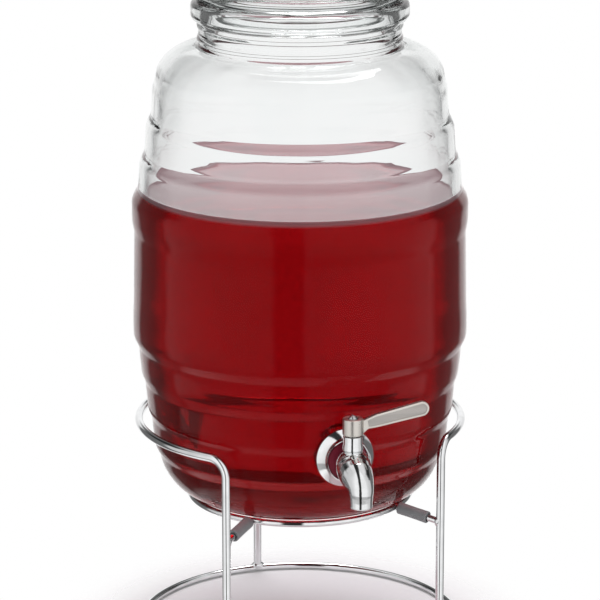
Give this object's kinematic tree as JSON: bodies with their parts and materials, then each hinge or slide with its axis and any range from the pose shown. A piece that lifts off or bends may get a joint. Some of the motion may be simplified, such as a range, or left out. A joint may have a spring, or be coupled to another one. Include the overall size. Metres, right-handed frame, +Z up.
{
  "type": "glass beverage dispenser",
  "caption": "Barrel-shaped clear glass drink jar with stepped bands, a lift-off glass lid and a chrome lever tap, carried on a welded chrome wire stand.",
  "frame": {"origin": "on the table, under the jar's axis, in the plane of the base ring's flat underside", "axes": "+Z up along the jar's axis, -Y out of the tap, +X along the closed lever"},
  "size_m": [0.2202, 0.2552, 0.4859],
  "materials": {
    "chrome_wire": "polished chrome plate",
    "vinyl_sleeve": "matt grey vinyl",
    "jar_glass": "clear pressed glass",
    "lid_glass": "clear pressed glass",
    "silicone": "translucent silicone",
    "burgundy_silicone": "moulded burgundy silicone",
    "nitrile": "black nitrile",
    "stainless": "turned stainless steel",
    "screw_steel": "polished stainless steel",
    "tap_chrome": "polished chrome plate",
    "lever_metal": "satin cast metal"
  },
  "bodies": {
    "stand": {"base_ring": "chrome_wire", "rail_wire_frame": "chrome_wire", "rear_leg": "chrome_wire", "seat_ring": "chrome_wire", "left_strut": "chrome_wire", "right_strut": "chrome_wire", "rear_strut": "chrome_wire", "left_sleeve": "vinyl_sleeve", "right_sleeve": "vinyl_sleeve", "rear_sleeve": "vinyl_sleeve"},
    "jar": {"glass_jar": "jar_glass", "outer_gasket": "silicone", "inner_gasket": "silicone", "backing_washer": "stainless", "lock_nut": "stainless", "escutcheon": "tap_chrome", "tap_body": "tap_chrome", "recess_ring": "burgundy_silicone", "stem_gland": "stainless"},
    "lever": {"valve_plug": "stainless", "upper_o_ring": "nitrile", "lower_o_ring": "nitrile", "lever_handle": "lever_metal", "lever_washer": "stainless", "lever_screw": "screw_steel"},
    "lid": {"glass_lid": "lid_glass", "lid_seal": "silicone"}
  },
  "joints": [
    {"name": "jar_lift", "type": "slide", "parent": "stand", "child": "jar", "axis": [0, 0, 1], "range_m": [0, 0.1]},
    {"name": "lid_lift", "type": "slide", "parent": "jar", "child": "lid", "axis": [0, 0, 1], "range_m": [0, 0.08]},
    {"name": "lever_turn", "type": "hinge", "parent": "jar", "child": "lever", "pos_m": [0, -0.1192, 0.14982], "axis": [0, 0, -1], "range_deg": [0, 90]}
  ]
}
